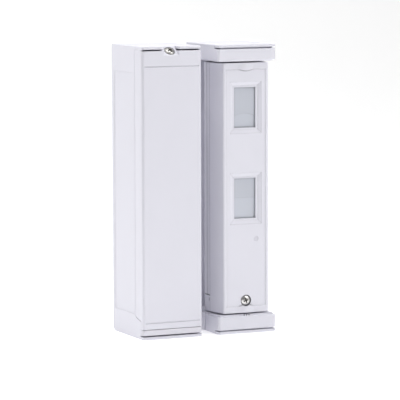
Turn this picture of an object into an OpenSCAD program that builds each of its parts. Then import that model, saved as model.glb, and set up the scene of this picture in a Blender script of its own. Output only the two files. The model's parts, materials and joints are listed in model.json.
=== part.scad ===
// Outdoor curtain sensor made of two upright units that stand side by side on a wall.
// The left unit is a battery box with a transmitter behind one front cover. The right unit holds a
// sensor head that turns about an upright axis between a lower and an upper arm.
// The front faces -Y, the wall is at +Y, and Z runs up from the foot. All sizes are in millimetres.

/* [Overall] */
// Height of both units
unit_h = 184; // [170:1:220]
// Width of each unit
unit_w = 40.8; // [39.6:0.2:46]
// Depth of each unit from its front to the wall
unit_d = 50; // [49:0.5:58]
// Gap between the two units
unit_gap = 11.2; // [9:0.2:20]
// Corner radius of the cases in plan
corner_r = 1.8; // [1:0.1:2.4]

/* [Case shells] */
// Side wall of both cases
side_wall = 2.2; // [1.8:0.1:2.4]
// Back wall of the battery case
back_wall = 2.4; // [2:0.1:3.2]
// Back wall of the sensor case
sensor_back_wall = 3.2; // [2.4:0.1:4]
// Thickness of the end lips
lip_t = 1.65; // [1.2:0.05:2.2]
// Open gap between an end lip and what lies under it
lip_gap = 0.95; // [0.6:0.05:1.4]
// Radius of the lower rear edge
foot_r = 5.5; // [3:0.5:7]
// Depth of the plain field sunk in the outer sides
field_depth = 0.25; // [0.15:0.05:0.5]
// Distance from the front to the sunk field
field_front = 14; // [13:0.5:20]
// Distance from the wall to the sunk field
field_back = 5; // [3:0.5:10]
// Height of the lower edge of the sunk field
field_foot = 15; // [14:0.5:30]
// Distance from the top to the upper edge of the sunk field
field_drop = 16.7; // [8:0.5:30]

/* [Battery cover] */
// Depth of the cover flange behind the front
flange_d = 11.9; // [10:0.1:13]
// Wall of the cover
cover_wall = 2; // [1.4:0.1:2.4]
// Height of the tray strip that shows under the cover
strip_h = 3.5; // [2.5:0.1:5]
// Seam between the cover and its neighbours
seam = 0.3; // [0.2:0.05:0.4]
// Width of the two front grooves
groove_w = 0.6; // [0.4:0.1:1.2]
// Depth of the two front grooves
groove_depth = 0.5; // [0.3:0.1:1]
// Distance from the cover top down to the upper groove
top_groove_drop = 9.8; // [8:0.2:16]
// Distance from the cover foot up to the lower groove
foot_groove_rise = 4.1; // [3:0.1:8]
// Distance from the front to the tip of the case cheek
cheek_back = 4; // [3:0.2:6]
// Height of the case cheek at its tip
cheek_tip_h = 11.4; // [9:0.2:14]
// Height of the case cheek at the flange seam
cheek_root_h = 13; // [11:0.2:16]
// Width of the screw notch at the top
notch_w = 10.2; // [9:0.2:13]
// Depth of the screw notch, along Z at the front and along Y at the top
notch_drop = 5.6; // [5:0.1:7]

/* [Screws] */
// Head diameter of the two visible screws
screw_head_d = 6.4; // [5.6:0.1:6.8]
// Head height of the two visible screws
screw_head_h = 2; // [1.6:0.1:2.4]
// Thread diameter of the screws
screw_d = 3; // [2.6:0.1:3.2]
// Length of the two visible screws under the head
screw_len = 12; // [9:0.5:13]
// Diameter of the counterbore round a visible head
screw_seat_d = 7.3; // [7:0.1:8]

/* [Battery tray] */
// Wall of the tray
tray_wall = 1.6; // [1.2:0.1:2]
// Clearance between the tray and the case
tray_gap = 0.3; // [0.2:0.05:0.5]
// Free depth for cables between the tray and the back wall
cable_depth = 8.6; // [7:0.2:12]
// Height of the foot of the sealed chamber
chamber_foot = 16; // [15:0.5:24]
// Distance from the top to the head of the sealed chamber
chamber_drop = 18; // [17:0.5:26]
// Width and depth of the rubber seal
seal_t = 1.6; // [1.2:0.1:2]

/* [Batteries and transmitter] */
// Diameter of one battery
cell_d = 17; // [16:0.5:17.5]
// Length of one battery
cell_l = 34.5; // [30:0.5:36]
// Room for the contact at each end of a battery
contact_room = 3; // [2.5:0.1:4]
// Thickness of the circuit boards
board_t = 1.6; // [1:0.2:2]
// Width of the transmitter board
radio_w = 29; // [24:0.5:30]
// Free height between the battery holder and the transmitter board
radio_clear = 4.5; // [2:0.5:8]

/* [Wall fixing] */
// Diameter of the wall screw holes
wall_hole_d = 4.5; // [4:0.1:5.5]
// Distance from each end of a unit to its nearest wall screw hole
wall_hole_inset = 32; // [28:1:45]
// Bore of the cable grommet
inlet_d = 5; // [4:0.2:6]
// Height of the cable grommet
inlet_z = 46; // [40:1:60]

/* [Link between the units] */
// Distance from the front to the link
link_front = 19.9; // [18:0.2:24]
// Depth of the link
link_d = 20; // [14:0.5:22]
// Height of the top of the link
link_top = 12.3; // [11:0.1:12.4]
// Height of the foot of the link
link_foot = 0.7; // [0.4:0.1:1.4]
// Bore of the link for the wires
link_bore = 4.4; // [4:0.2:5]

/* [Arms] */
// Height of the lower arm above its gap
lower_arm_h = 8.3; // [7.6:0.1:10]
// Height of the upper arm below its gap
upper_arm_h = 7.3; // [7:0.1:9]
// Deck of the arms
deck_t = 2; // [1.6:0.1:2.6]
// Height of the plateau on the lower arm
plateau_h = 1; // [0.6:0.1:1.2]
// Height of the plateau under the upper arm
upper_plateau_h = 0.7; // [0.5:0.1:1]
// Distance from the arm edges to the plateau
plateau_inset = 1.3; // [1:0.1:2]
// Angle between two tick marks
tick_step = 5; // [3:1:15]
// Width of a tick mark
tick_w = 0.6; // [0.4:0.1:0.9]

/* [Sensor head] */
// Distance of the turning axis in front of the middle of the depth
axis_offset = 4; // [3.6:0.1:4.6]
// Distance from the front of the unit back to the front of the head
head_setback = 2; // [1.7:0.1:2.8]
// Half width of the head at its front
head_half = 15.8; // [15.4:0.1:16.4]
// Outer radius of the head about its axis
head_r = 18.7; // [18.4:0.1:18.9]
// Distance from the axis forward to the cover seam
head_seam = 3.5; // [3:0.1:4.5]
// Corner radius of the head front
head_corner_r = 1.2; // [0.8:0.1:1.6]
// Gap above and below the head
head_gap = 1; // [0.9:0.05:1.2]
// Wall of the head shells
head_wall = 2; // [1.6:0.1:2.2]
// Front plate of the head
head_plate = 2.6; // [2.4:0.1:3]
// Height of the head base below the level seam
base_h = 10.3; // [9:0.1:11]
// Open seam between two head shells
shell_seam = 0.5; // [0.3:0.05:0.6]
// Depth of the sunk front panel
panel_depth = 0.35; // [0.2:0.05:0.6]
// Half width of the sunk front panel
panel_half = 14.1; // [13.4:0.1:14.4]
// Run of the sloped edge round the sunk panel
panel_draft = 0.45; // [0.2:0.05:0.6]
// Height of the plain strip above and below the panel
panel_strip = 3.85; // [3:0.05:5]

/* [Windows and lenses] */
// Width of a window at its clear opening
window_w = 14.9; // [13:0.1:16]
// Height of a window at its clear opening
window_h = 25.7; // [22:0.1:28]
// Width of the flat lip round the opening
window_lip = 1.2; // [0.8:0.1:1.6]
// Width of the mitred bevel round the lip
window_bevel = 2.4; // [1.8:0.1:2.6]
// Depth of the mitred bevel
bevel_depth = 1.3; // [1:0.05:1.5]
// Depth of the outer, flatter half of the bevel
bevel_step = 0.6; // [0.4:0.05:0.8]
// Depth of the sharp edge round the bevel
frame_edge = 0.15; // [0.1:0.05:0.3]
// Distance from the top of the head down to the middle of the upper window
upper_window_drop = 28.4; // [26:0.2:32]
// Share of the free height in the head that lies between the frames of the two windows
window_gap_share = 0.6702; // [0.6:0.01:0.75]
// Thickness of a lens
lens_t = 0.8; // [0.6:0.05:1]
// Share of the free height in the head that lies between the lower window frame and the indicator
led_share = 0.1716; // [0.1:0.01:0.25]
// Distance of the indicator from the middle of the head
led_x = 7.2; // [5:0.2:9]
// Diameter of the light guide
guide_d = 3; // [2.4:0.1:3.4]
// Height of the head screw above the foot of the head
head_screw_rise = 7.7; // [7:0.1:8]

/* [Pivots] */
// Outer diameter of the lower journal
journal_d = 16; // [14:0.5:17]
// Bore of the lower journal
journal_bore = 11; // [9:0.5:12]
// Diameter of the upper pivot pin
pin_d = 6; // [5:0.5:6]
// Length of the upper pivot pin above the head
pin_len = 5; // [4:0.2:6]
// Wall of the pivot bushes
bush_wall = 1.5; // [1:0.1:2]
// Radial running clearance of the pivots
running_gap = 0.06; // [0.03:0.01:0.09]

/* [Controls] */
// Pitch of the setting switches
dip_pitch = 2.54; // [2.54:0.01:3]
// Travel of a setting switch
dip_travel = 1.8; // [1:0.1:2]
// Diameter of the sensitivity dial
dial_d = 5.6; // [5:0.1:6]
// Travel of the tamper plungers
tamper_travel = 1; // [0.6:0.1:1.2]
// Diameter of the tamper plungers
tamper_d = 3; // [2.6:0.1:3.4]

/* [Hidden] */
$fn = 48;
// Overrun of every cut
eps = 1;
// Clearance between two pieces that are pressed or clipped together
fit = 0.05;
// Clearance between two pieces that move past each other
play = 0.3;

pitch = unit_w + unit_gap;
half_w = unit_w / 2;
front_y = -unit_d / 2;
wall_y = unit_d / 2;
box_x = -pitch / 2;
sensor_x = pitch / 2;
inner_w = unit_w - 2 * side_wall;
cavity_foot = lip_t;
cavity_top = unit_h - lip_t;
cavity_back = wall_y - back_wall;
wall_hole_half = unit_h / 2 - wall_hole_inset;

// Battery cover
flange_y = front_y + flange_d;
strip_foot = lip_t + lip_gap;
strip_top = strip_foot + strip_h;
cover_foot = strip_top + seam;
cover_top = unit_h - lip_t - lip_gap;
cheek_y = front_y + cheek_back;
notch_foot = unit_h - notch_drop;
slope = 38;
notch_run = notch_drop / tan(slope);
tongue_t = 1;
tongue_back = front_y + notch_run + tongue_t;
tongue_w = notch_w - seam;
seat_drop = 4;
seat_w = notch_w + 2 * cover_wall;

// Cover screw, in the middle of the notch slope
screw_y = front_y + notch_run / 2;
screw_z = notch_foot + notch_drop / 2;
screw_sink = 1.1;
thread_depth = 0.2;
thread_d = screw_d - 2 * thread_depth;

// Tray
tray_w = inner_w - 2 * tray_gap;
tray_back = cavity_back - cable_depth;
tray_plate = tray_back - tray_wall;
tray_proud = 1.5;
tray_front = flange_y - tray_proud;
chamber_top = unit_h - chamber_drop;
shelf_t = 2.6;
shelf_d = 6;
shelf_back = flange_y + shelf_d;
web_t = 2.4;
block_w = 10;
post_r = 3.2;

// Head
axis_back = unit_d / 2 - axis_offset;
head_front = axis_back - head_setback;
lower_arm_top = strip_foot + lower_arm_h;
upper_arm_foot = unit_h - strip_foot - upper_arm_h;
plateau_top = lower_arm_top + plateau_h;
upper_plateau_foot = upper_arm_foot - upper_plateau_h;
head_foot = plateau_top + head_gap;
head_top = upper_plateau_foot - head_gap;
head_h = head_top - head_foot;
axis_y = front_y + axis_back;
sensor_back = wall_y - sensor_back_wall;
shell_step = 0.25;
shell_r = head_r - shell_step;
inner_r = shell_r - head_wall;
base_top = head_foot + base_h;
panel_y = -head_front + panel_depth;
panel_foot = head_foot + panel_strip;
panel_top = head_top - panel_strip;
plate_back = -head_front + head_plate;
flare = (sqrt(head_r * head_r - head_seam * head_seam) - head_half) / (head_front - head_seam);
head_screw_z = head_foot + head_screw_rise;
upper_window_z = head_top - upper_window_drop;

// Heights inside the head, from the upper window down: frame of the lower window, tamper switch with the
// indicator beside it, setting switch, terminals, foot of the board and the screw boss
boss_r = 3.4;
lens_edge = 2;
lens_rim = lens_edge + tray_wall;
frame_h = window_h + 2 * lens_rim;
switch_w = 6.5;
dip_h = 8.6;
dip_gap = 1.55;
terminal_gap = 0.7;
terminal_h = 8;
board_strip = 8;
head_free = upper_window_z - frame_h / 2 - frame_h - switch_w - dip_gap - dip_h - terminal_gap - terminal_h
    - board_strip - head_screw_z - boss_r;
lower_window_z = upper_window_z - frame_h - head_free * window_gap_share;
frame_foot = lower_window_z - frame_h / 2;
led_z = frame_foot - head_free * led_share - switch_w / 2;
dip_z = led_z - switch_w / 2 - dip_gap - dip_h / 2;
terminal_z = dip_z - dip_h / 2 - terminal_gap - terminal_h;
board_foot = terminal_z - board_strip;

case_colour = [0.9, 0.89, 0.92];
inner_colour = [0.8, 0.8, 0.82];
black_colour = [0.12, 0.12, 0.13];
metal_colour = [0.75, 0.75, 0.73];
board_colour = [0.1, 0.35, 0.2];
rubber_colour = [0.2, 0.2, 0.22];
lens_colour = [0.78, 0.81, 0.84];

// Points of an arc about (x, y) from angle a0 to a1 in n steps
function arc(x, y, r, a0, a1, n) =
    [for (i = [0 : n]) let (a = a0 + (a1 - a0) * i / n) [x + r * cos(a), y + r * sin(a)]];

// Height of the notch slope at depth y
function slope_z(y) = notch_foot + (y - front_y) * tan(slope);

// Rectangle with round corners, centred
module round_rect(w, h, r) {
    square([w - 2 * r, h], center = true);
    square([w, h - 2 * r], center = true);
    for (sx = [-1, 1], sy = [-1, 1])
        translate([sx * (w / 2 - r), sy * (h / 2 - r)]) circle(r = r);
}

// Box given by its low and high corners
module span(lo, hi) {
    translate(lo) cube(hi - lo);
}

// Upright slab with a side profile drawn in Y and Z, centred on X
module side_profile(w, points) {
    translate([-w / 2, 0, 0])
        rotate([90, 0, 90]) linear_extrude(w) polygon(points);
}

// Rod along Y from y0 to y1
module rod_y(x, z, y0, y1, r) {
    translate([x, y1, z]) rotate([90, 0, 0]) cylinder(r = r, h = y1 - y0);
}

// Outer block of one unit with its round lower rear edge
module unit_block() {
    intersection() {
        linear_extrude(unit_h) round_rect(unit_w, unit_d, corner_r);
        side_profile(unit_w + 2 * eps, concat(
            [[front_y - eps, 0], [front_y - eps, unit_h], [wall_y, unit_h]],
            arc(wall_y - foot_r, foot_r, foot_r, 0, -90, 8)));
    }
}

// Sunk fields in both outer sides of a unit
module side_fields(back) {
    for (s = [-1, 1])
        translate([s * (half_w + eps - field_depth), 0, 0])
            span([-eps, front_y + field_front, field_foot],
                 [eps, wall_y - back, unit_h - field_drop]);
}

// Pan head screw along -Z, with the underside of its head at the origin
cross_w_share = 0.38;
cross_l_share = 0.56;
cross_floor_share = 0.4;
dome_share = 0.8;
module pan_screw(head_d, head_h, len) {
    cross_w = head_h * cross_w_share;
    cross_l = head_d * cross_l_share;
    dome_r = head_d * dome_share;
    difference() {
        intersection() {
            cylinder(d = head_d, h = head_h);
            translate([0, 0, head_h - dome_r]) sphere(r = dome_r);
        }
        for (a = [0, 90])
            rotate([0, 0, a])
                translate([-cross_l / 2, -cross_w / 2, head_h * cross_floor_share])
                    cube([cross_l, cross_w, head_h]);
    }
    translate([0, 0, -len]) cylinder(d = thread_d, h = len);
}

// Places its children with -Z along the cover screw, its origin on the notch slope
module at_cover_screw() {
    translate([0, screw_y, screw_z]) rotate([slope, 0, 0]) children();
}

// Level frame of rectangular section that faces the front, from y0 to y1
module frame_y(w, foot, top, t, y0, y1) {
    difference() {
        span([-w / 2, y0, foot], [w / 2, y1, top]);
        span([-w / 2 + t, y0 - eps, foot + t], [w / 2 - t, y1 + eps, top - t]);
    }
}

// Side profile of the cheek at the foot of the battery case, grown by g
module cheek(x0, x1, g) {
    translate([(x0 + x1) / 2, 0, 0])
        side_profile(x1 - x0, [
            [cheek_y - g, 0],
            [cheek_y - g, cheek_tip_h + g],
            [flange_y - 2 * seam - g, cheek_root_h + g],
            [flange_y + seam, cheek_root_h + 4 * seam + g],
            [flange_y + seam + eps, 0]
        ]);
}

// Places of the tray screws as X and Z pairs
tray_screw_x = tray_w / 2 - tray_wall - post_r;
tray_screw_z = [chamber_foot + tray_wall + 2 * post_r, chamber_top - tray_wall - post_r];
tray_screw_len = 8;

// Rear case of the battery box: back, sides, end lips and cheeks in one moulding
module box_case() {
    color(case_colour) translate([box_x, 0, 0]) difference() {
        union() {
            difference() {
                unit_block();
                difference() {
                    span([-half_w - eps, front_y - eps, cavity_foot],
                         [half_w + eps, flange_y + seam, cavity_top]);
                    cheek(half_w - side_wall, half_w + 2 * eps, 0);
                    cheek(-half_w - 2 * eps, -half_w + side_wall, 0);
                }
                span([-inner_w / 2, flange_y, cavity_foot], [inner_w / 2, cavity_back, cavity_top]);
                side_fields(field_back);
            }
            for (x = [-1, 1] * tray_screw_x, z = tray_screw_z)
                rod_y(x, z, tray_back, cavity_back + eps, post_r);
        }
        for (x = [-1, 1] * tray_screw_x, z = tray_screw_z)
            rod_y(x, z, tray_back - eps, tray_back + tray_screw_len, thread_d / 2 + fit);
        for (s = [-1, 1])
            rod_y(0, unit_h / 2 + s * wall_hole_half, cavity_back - eps, wall_y + eps, wall_hole_d / 2);
        rod_y(0, inlet_z, cavity_back - eps, wall_y + eps, grommet_r + fit);
        translate([inner_w / 2 - eps, link_y, link_z]) nipple_hole();
        span([-notch_w / 2, front_y - eps, cavity_top - eps],
             [notch_w / 2, tongue_back + seam, unit_h + eps]);
    }
}

// Front cover: a shallow tray with the screw seat and tongue at its head and a pressing rib inside
module box_cover() {
    cover_half = half_w - cover_wall;
    tongue_front = front_y + (cover_top - notch_foot) / tan(slope);
    seat_front = front_y + cover_wall / 2;
    color(case_colour) translate([box_x, 0, 0]) difference() {
        union() {
            difference() {
                intersection() {
                    unit_block();
                    span([-half_w - eps, front_y - eps, cover_foot], [half_w + eps, flange_y, cover_top]);
                }
                span([-cover_half, front_y + cover_wall, cover_foot + cover_wall],
                     [cover_half, flange_y + eps, cover_top - cover_wall]);
            }
            frame_y(tray_w - seal_t / 2, chamber_foot + seal_t / 4, chamber_top - seal_t / 4, seal_t / 2,
                    front_y + cover_wall - eps, tray_front - seal_t - fit);
            side_profile(seat_w, [
                [seat_front, slope_z(seat_front)], [tongue_front, cover_top], [tongue_back, cover_top],
                [tongue_back, cover_top - cover_wall], [seat_front, slope_z(seat_front) - seat_drop]]);
            side_profile(tongue_w, [
                [tongue_front, cover_top], [front_y + notch_run, unit_h], [tongue_back, unit_h],
                [tongue_back, cover_top - cover_wall], [tongue_front, cover_top - cover_wall]]);
            rod_y(box_tamper_x, box_tamper_z, front_y + cover_wall - eps, box_plunger_y - play, tamper_d / 2 + eps);
        }
        side_profile(notch_w, [
            [front_y - eps, slope_z(front_y - eps)], [front_y + notch_run + eps, slope_z(front_y + notch_run + eps)],
            [front_y - eps, unit_h + 2 * eps]]);
        at_cover_screw() translate([0, 0, -screw_sink]) {
            cylinder(d = screw_seat_d, h = notch_drop);
            translate([0, 0, -screw_len]) cylinder(d = screw_d + 2 * play, h = screw_len + eps);
        }
        cheek(half_w - side_wall - seam, half_w + eps, seam);
        cheek(-half_w - eps, -half_w + side_wall + seam, seam);
        for (z = [cover_top - top_groove_drop, cover_foot + foot_groove_rise])
            span([-half_w + corner_r, front_y - eps, z - groove_w / 2],
                 [half_w - corner_r, front_y + groove_depth, z + groove_w / 2]);
    }
}

// Inner tray: sealed chamber for the electronics, foot strip that shows in front, and the screw block
module box_tray() {
    block_front = tongue_back + play;
    block_top = cover_top - cover_wall - play;
    color(inner_colour) translate([box_x, 0, 0]) difference() {
        union() {
            difference() {
                span([-tray_w / 2, tray_front, chamber_foot], [tray_w / 2, tray_back, chamber_top]);
                span([-tray_w / 2 + tray_wall, tray_front - eps, chamber_foot + tray_wall],
                     [tray_w / 2 - tray_wall, tray_plate, chamber_top - tray_wall]);
            }
            intersection() {
                unit_block();
                span([-half_w, front_y, strip_foot], [half_w, cheek_y - seam, strip_top]);
            }
            span([-tray_w / 2, cheek_y - 2 * seam, strip_foot], [tray_w / 2, shelf_back, strip_top]);
            for (s = [-1, 1])
                translate([s * (tray_w - web_t) / 2, 0, 0])
                    span([-web_t / 2, flange_y + seam, strip_top - seam],
                         [web_t / 2, shelf_back, chamber_foot + seam]);
            side_profile(block_w, [
                [block_front, block_top], [shelf_back, block_top],
                [shelf_back, chamber_top - tray_wall / 2], [tray_front + seal_t, chamber_top - tray_wall / 2],
                [block_front, block_top - seat_drop - web_t]]);
            for (x = [-1, 1] * radio_post_x, z = radio_post_z)
                rod_y(x, z, radio_y + board_t, tray_plate + tray_wall / 2, radio_post_r);
        }
        for (x = [-1, 1] * tray_screw_x, z = tray_screw_z)
            rod_y(x, z, tray_plate - eps, tray_back + eps, thread_d / 2 + play);
        at_cover_screw() translate([0, 0, -screw_sink - screw_len])
            cylinder(d = thread_d + 2 * fit, h = screw_len);
    }
}

// Rubber seal on the rim of the chamber
module box_seal() {
    color(rubber_colour) translate([box_x, 0, 0])
        frame_y(tray_w, chamber_foot, chamber_top, tray_wall, tray_front - seal_t, tray_front);
}

module cover_screw() {
    color(metal_colour) translate([box_x, 0, 0]) at_cover_screw()
        translate([0, 0, -screw_sink]) pan_screw(screw_head_d, screw_head_h, screw_len - eps);
}

// Four screws that hold the tray on the posts of the case
module tray_screws() {
    tray_head_d = 5;
    tray_head_h = 1.8;
    color(metal_colour) translate([box_x, 0, 0])
        for (x = [-1, 1] * tray_screw_x, z = tray_screw_z)
            translate([x, tray_plate, z]) rotate([90, 0, 0])
                pan_screw(tray_head_d, tray_head_h, tray_screw_len);
}

// Battery holder: two pockets in line, open to the front
cell_clear = 0.15;
cell_count = 2;
holder_wall = 1.6;
holder_w = cell_d + 2 * holder_wall;
holder_foot = chamber_foot + tray_wall + fit;
cell_room = cell_l + 2 * contact_room;
holder_lip_share = 0.125;
holder_slot_share = 0.9;
holder_h = cell_count * (cell_room + holder_wall) + holder_wall;
cell_y = tray_plate - fit - holder_wall - cell_clear - cell_d / 2;
function cell_foot(i) = holder_foot + holder_wall + contact_room + i * (cell_room + holder_wall);

module battery_holder() {
    color(black_colour) translate([box_x, 0, 0]) difference() {
        span([-holder_w / 2, cell_y - cell_d * holder_lip_share, holder_foot],
             [holder_w / 2, tray_plate - fit, holder_foot + holder_h]);
        for (i = [0 : cell_count - 1])
            translate([0, cell_y, cell_foot(i) - contact_room]) {
                cylinder(d = cell_d + 2 * cell_clear, h = cell_room);
                translate([-holder_w / 2 - eps, -cell_d, cell_room / 4])
                    cube([holder_w + 2 * eps, cell_d * holder_slot_share, cell_room / 2]);
            }
    }
}

// One lithium cell with its raised contact
tip_share = 0.38;
module battery(i) {
    tip_h = 1;
    translate([box_x, cell_y, cell_foot(i)]) {
        color([0.75, 0.3, 0.15]) cylinder(d = cell_d, h = cell_l - tip_h);
        color(metal_colour) cylinder(d = cell_d * tip_share, h = cell_l);
    }
}
module battery_1() battery(0);
module battery_2() battery(1);

// Spring cone under each cell and flat contact over it
module battery_contacts() {
    plate_t = 0.4;
    plate_r = cell_d / 3;
    cone_foot_share = 0.8;
    cone_top_share = 0.5;
    stud_share = 0.4;
    color(metal_colour) for (i = [0 : cell_count - 1])
        translate([box_x, cell_y, cell_foot(i)]) {
            translate([0, 0, -contact_room]) cylinder(r = plate_r, h = plate_t);
            translate([0, 0, plate_t - contact_room])
                cylinder(r1 = plate_r * cone_foot_share, r2 = plate_r * cone_top_share, h = contact_room - plate_t);
            translate([0, 0, cell_l]) cylinder(r = plate_r * stud_share, h = contact_room - plate_t);
            translate([0, 0, cell_l + contact_room - plate_t]) cylinder(r = plate_r, h = plate_t);
        }
}

// Transmitter board on four posts of the tray, its radio can and the tamper switch
radio_gap = 4;
radio_y = tray_plate - radio_gap - board_t;
radio_foot = holder_foot + holder_h + radio_clear;
radio_h = chamber_top - tray_wall - 2 * post_r - radio_foot;
radio_post_r = 2;
radio_post_x = radio_w / 2 - radio_post_r;
radio_post_z = [radio_foot + radio_post_r, radio_foot + radio_h - radio_post_r];
switch_h = 6;
plunger_out = 4;
plunger_in = 3;
box_tamper_x = radio_w / 4;
box_tamper_share = 0.8;
box_tamper_z = radio_foot + radio_h * box_tamper_share;
box_plunger_y = radio_y - switch_h - plunger_out;

module transmitter_board() {
    color(board_colour) translate([box_x, 0, 0])
        span([-radio_w / 2, radio_y, radio_foot], [radio_w / 2, radio_y + board_t, radio_foot + radio_h]);
}

module transmitter_module() {
    can_w = 17;
    can_h_share = 0.44;
    can_h = radio_h * can_h_share;
    can_t = 3;
    can_r = 1;
    color(metal_colour) translate([box_x - radio_w / 2 + can_w / 2 + can_r, radio_y, radio_foot + radio_h / 2])
        rotate([90, 0, 0]) linear_extrude(can_t) round_rect(can_w, can_h, can_r);
}

// Tamper switch body whose plunger points to the front, its foot on the board at depth y
module tamper_body(x, y, z) {
    translate([x, 0, z]) difference() {
        span([-switch_w / 2, y - switch_h, -switch_w / 2], [switch_w / 2, y, switch_w / 2]);
        rod_y(0, 0, y - switch_h - eps, y - switch_h + plunger_in + tamper_travel + play, tamper_d / 2 + running_gap);
    }
}

// Plunger with a round end that sits in the switch body
module tamper_pin(x, y, z) {
    head = tamper_d / 2;
    translate([x, y - switch_h, z]) {
        rod_y(0, 0, -plunger_out + head, plunger_in, tamper_d / 2);
        intersection() {
            rod_y(0, 0, -plunger_out, -plunger_out + head + fit, tamper_d / 2);
            translate([0, -plunger_out + tamper_d, 0]) sphere(r = tamper_d);
        }
    }
}

module box_tamper_switch() {
    color(black_colour) tamper_body(box_x + box_tamper_x, radio_y, box_tamper_z);
}

module box_tamper_plunger() {
    color(case_colour) tamper_pin(box_x + box_tamper_x, radio_y, box_tamper_z);
}

// Rubber grommet in the back wall, with its flange inside the case
grommet_wall = 2;
grommet_r = inlet_d / 2 + grommet_wall;
grommet_flange = 1.8;
module cable_grommet() {
    color(rubber_colour) translate([box_x, 0, inlet_z]) difference() {
        union() {
            rod_y(0, 0, cavity_back - grommet_flange, wall_y, grommet_r);
            rod_y(0, 0, cavity_back - grommet_flange, cavity_back, grommet_r + grommet_flange);
        }
        rod_y(0, 0, cavity_back - grommet_flange - eps, wall_y + eps, inlet_d / 2);
    }
}

// Link between the two cases: a hollow block with a nipple at each end for the wires
link_y = front_y + link_front + link_d / 2;
nipple_wall = 1.2;
nipple_r = link_bore / 2 + nipple_wall;
nipple_in = 1.2;
link_z = cavity_foot + play + nipple_r;
link_seal_t = 0.9;

// Hole for a nipple through one side wall, along +X
module nipple_hole() {
    rotate([0, 90, 0]) cylinder(r = nipple_r + fit, h = side_wall + 2 * eps);
}

module link_duct() {
    reach = unit_gap / 2 + side_wall + nipple_in;
    body = unit_gap / 2 - fit;
    color(case_colour) difference() {
        union() {
            span([-body, front_y + link_front, link_foot], [body, front_y + link_front + link_d, link_top]);
            translate([-reach, link_y, link_z]) rotate([0, 90, 0]) cylinder(r = nipple_r, h = 2 * reach);
        }
        translate([-reach - eps, link_y, link_z]) rotate([0, 90, 0]) cylinder(d = link_bore, h = 2 * (reach + eps));
        for (s = [0, 1]) mirror([s, 0, 0])
            translate([body - link_seal_t, link_y, link_z]) rotate([0, 90, 0]) difference() {
                cylinder(r = nipple_r + link_seal_t, h = link_seal_t + eps);
                translate([0, 0, -eps]) cylinder(r = nipple_r, h = link_seal_t + 3 * eps);
            }
    }
}

// Two rubber rings in the ends of the link
module link_seals() {
    body = unit_gap / 2 - fit;
    color(rubber_colour) for (s = [0, 1]) mirror([s, 0, 0])
        translate([body - link_seal_t, link_y, link_z]) rotate([0, 90, 0]) difference() {
            cylinder(r = nipple_r + link_seal_t - fit / 2, h = link_seal_t);
            translate([0, 0, -eps]) cylinder(r = nipple_r + fit / 2, h = link_seal_t + 2 * eps);
        }
}

// Bushes and clip of the pivots
lower_bush_r = journal_d / 2 + running_gap + bush_wall;
upper_bush_r = pin_d / 2 + running_gap + bush_wall;
bush_flange = 1.5;
bush_flange_share = 0.6;
bush_flange_t = head_gap * bush_flange_share;
lower_deck = lower_arm_top - deck_t;
upper_deck = upper_arm_foot + deck_t;
washer_t = 0.5;
washer_wall = 2.8;
washer_top = lower_deck - play;
clip_t = 1;
clip_groove = 0.7;
journal_lip = 1.2;
clip_top = washer_top - washer_t;
journal_foot = clip_top - clip_t - journal_lip;

// End plates: the part of each that shows full width, and its pegs
lip_d = 5;
peg_r = 2;
peg_wall = 1.6;
peg_x = inner_w / 2 - 2 * (peg_r + peg_wall);
peg_y = axis_y + journal_d;
peg_len = 5;
tick_len = 1.2;

// Plateau of an arm from z0 to z1, set in from the front and the sides
module plateau(z0, z1) {
    y0 = front_y + plateau_inset;
    y1 = sensor_back + eps;
    translate([0, (y0 + y1) / 2, z0]) linear_extrude(z1 - z0)
        round_rect(unit_w - 2 * plateau_inset, y1 - y0, corner_r);
}

// Sensor case: back wall with a lower and an upper arm, hollow and open at both ends
module sensor_case() {
    color(case_colour) translate([sensor_x, 0, 0]) difference() {
        union() {
            difference() {
                union() {
                    difference() {
                        unit_block();
                        span([-half_w - eps, front_y - eps, lower_arm_top],
                             [half_w + eps, sensor_back, upper_arm_foot]);
                    }
                    plateau(lower_arm_top - deck_t / 2, plateau_top);
                    plateau(upper_plateau_foot, upper_arm_foot + deck_t / 2);
                }
                span([-inner_w / 2, front_y + side_wall, -eps], [inner_w / 2, sensor_back, lower_deck]);
                span([-inner_w / 2, front_y + side_wall, upper_deck], [inner_w / 2, sensor_back, unit_h + eps]);
                span([-half_w - eps, front_y - eps, -eps], [half_w + eps, front_y + lip_d + seam, strip_foot]);
                span([-half_w - eps, front_y - eps, cover_top],
                     [half_w + eps, front_y + lip_d + seam, unit_h + eps]);
            }
            for (x = [-1, 1] * peg_x) {
                translate([x, peg_y, lip_t + fit]) cylinder(r = peg_r + peg_wall, h = lower_deck - lip_t);
                translate([x, peg_y, upper_deck - fit]) cylinder(r = peg_r + peg_wall, h = cavity_top - upper_deck);
            }
        }
        for (x = [-1, 1] * peg_x) {
            translate([x, peg_y, 0]) cylinder(r = peg_r + fit, h = lip_t + peg_len + fit);
            translate([x, peg_y, cavity_top - peg_len - fit]) cylinder(r = peg_r + fit, h = lip_t + peg_len + eps);
        }
        translate([0, axis_y, lower_deck - eps])
            cylinder(r = lower_bush_r + fit, h = plateau_top - lower_deck + 2 * eps);
        translate([0, axis_y, upper_plateau_foot - eps])
            cylinder(r = upper_bush_r + fit, h = upper_deck - upper_plateau_foot + 2 * eps);
        for (i = [-1 : 1])
            translate([0, axis_y, lower_arm_top]) rotate([0, 0, i * tick_step])
                translate([-tick_w / 2, plateau_inset - axis_back - eps, 0])
                    cube([tick_w, tick_len + eps, plateau_h + eps]);
        for (s = [-1, 1])
            rod_y(0, unit_h / 2 + s * wall_hole_half, sensor_back - eps, wall_y + eps, wall_hole_d / 2);
        translate([-half_w - eps, link_y, link_z]) nipple_hole();
    }
}

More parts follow.
